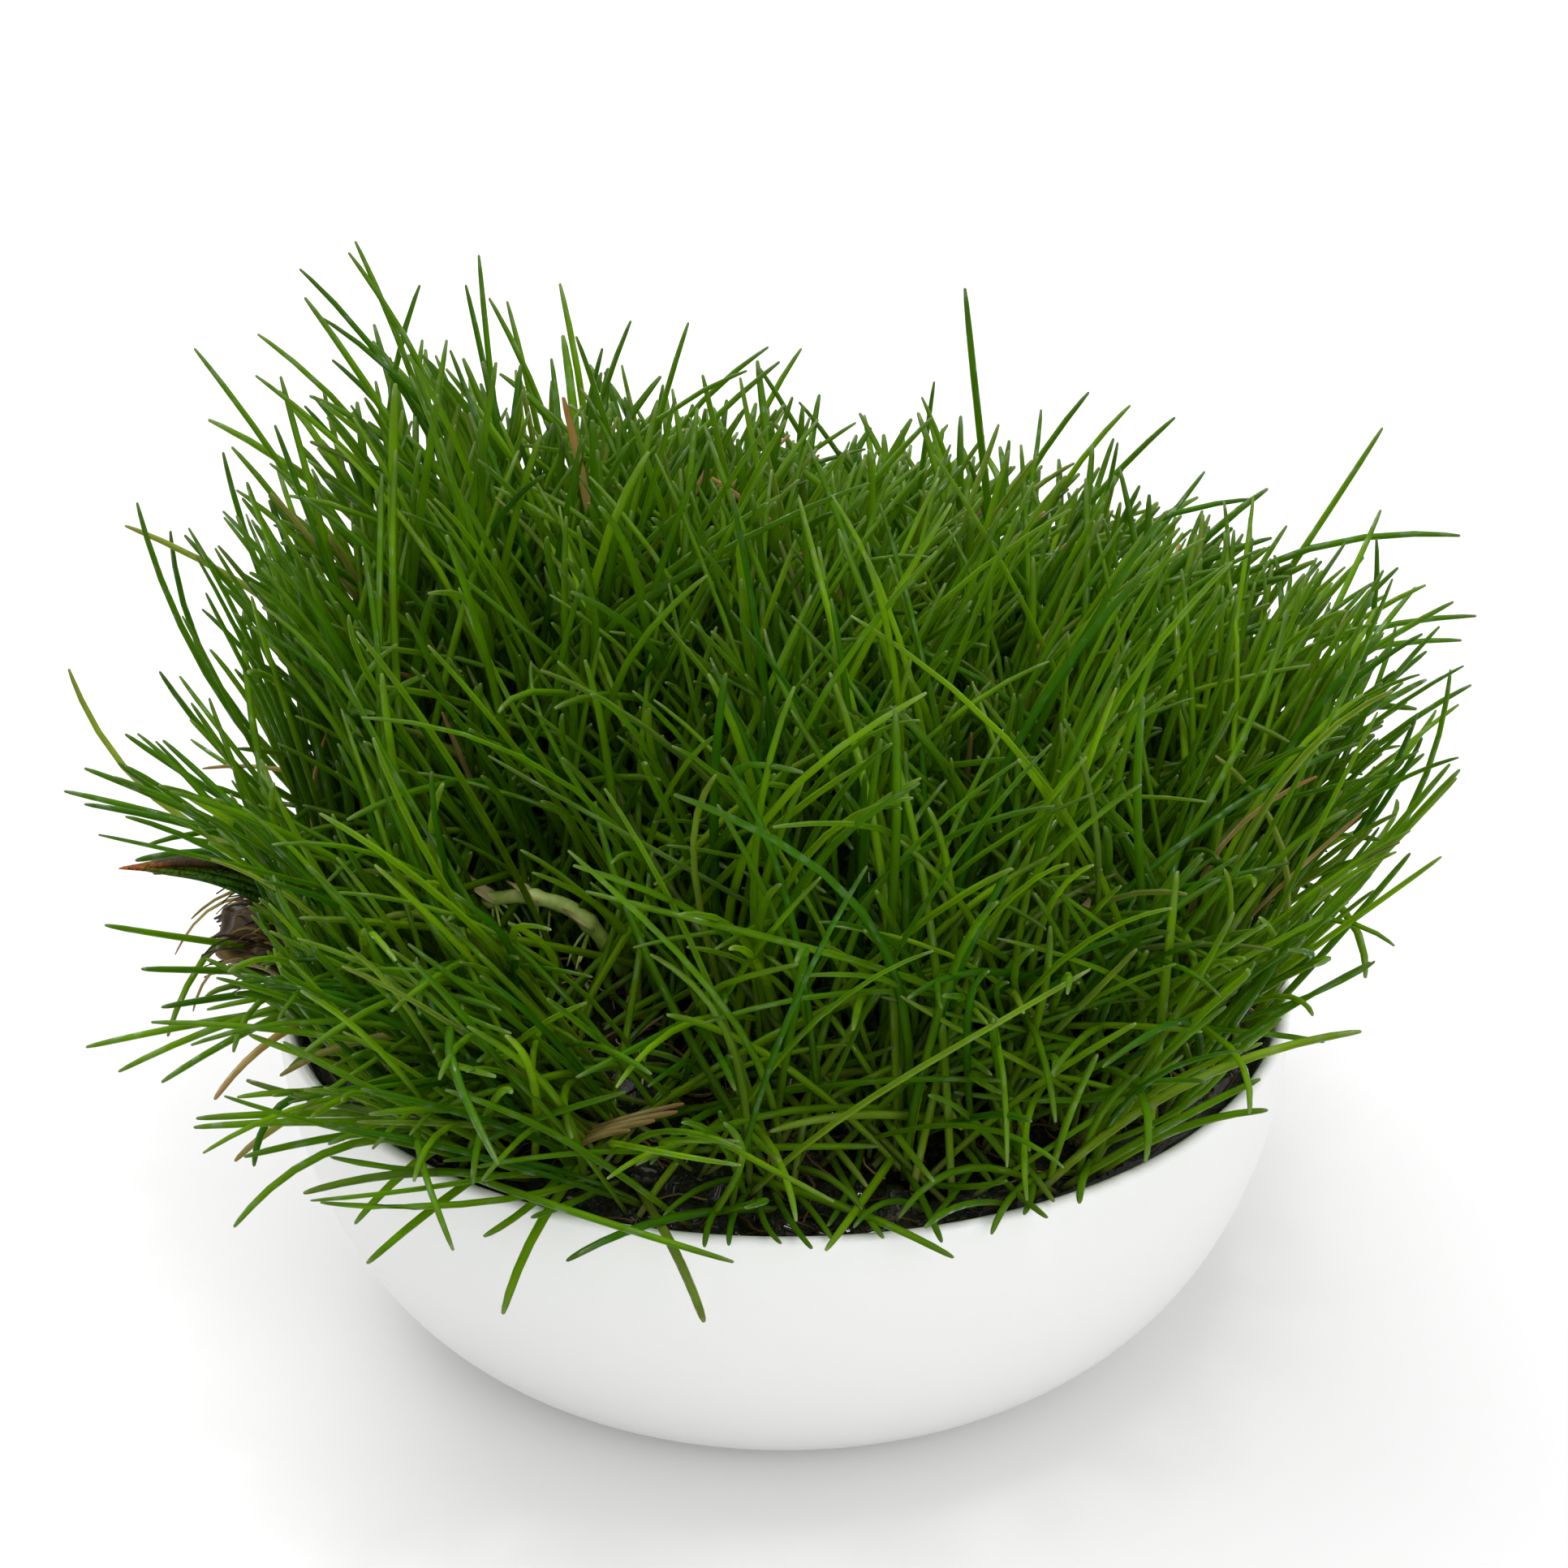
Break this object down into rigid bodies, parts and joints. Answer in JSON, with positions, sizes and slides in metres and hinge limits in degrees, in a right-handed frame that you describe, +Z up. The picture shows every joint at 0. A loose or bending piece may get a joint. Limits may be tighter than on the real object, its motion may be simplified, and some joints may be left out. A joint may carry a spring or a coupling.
{
  "type": "tissue culture dwarf hairgrass",
  "caption": "Dense tuft of fine green hairgrass blades growing from rooted gel in a small round white bowl.",
  "frame": {"origin": "centre of the bowl's flat base, on the surface that it stands on", "axes": "+Z up out of the bowl, -Y to the front that the picture shows, +X to the right"},
  "size_m": [0.1233, 0.1304, 0.0861],
  "materials": {
    "white_plastic": "satin",
    "dark_gel": "wet gloss",
    "matted_roots": "matt and wet",
    "green_blade": "semi-gloss, wet",
    "pale_runner": "semi-gloss",
    "brown_sheath": "matt"
  },
  "bodies": {
    "root": {"bowl": "white_plastic", "gel": "dark_gel", "root_mat": "matted_roots", "old_sheath": "brown_sheath", "runner_front": "pale_runner", "runner_right": "pale_runner", "runner_back": "pale_runner", "tuft_01": "green_blade", "tuft_02": "green_blade", "tuft_03": "green_blade", "tuft_04": "green_blade", "tuft_05": "green_blade", "tuft_06": "green_blade", "tuft_07": "green_blade", "tuft_08": "green_blade", "tuft_09": "green_blade", "tuft_10": "green_blade", "tuft_11": "green_blade", "tuft_12": "green_blade", "tuft_13": "green_blade", "tuft_14": "green_blade", "tuft_15": "green_blade", "tuft_16": "green_blade", "tuft_17": "green_blade", "tuft_18": "green_blade", "tuft_19": "green_blade", "tuft_20": "green_blade", "tuft_21": "green_blade", "tuft_22": "green_blade", "tuft_23": "green_blade", "tuft_24": "green_blade", "tuft_25": "green_blade", "tuft_26": "green_blade", "tuft_27": "green_blade", "tuft_28": "green_blade", "tuft_29": "green_blade", "tuft_30": "green_blade", "tuft_31": "green_blade", "tuft_32": "green_blade", "tuft_33": "green_blade", "tuft_34": "green_blade"}
  },
  "joints": []
}
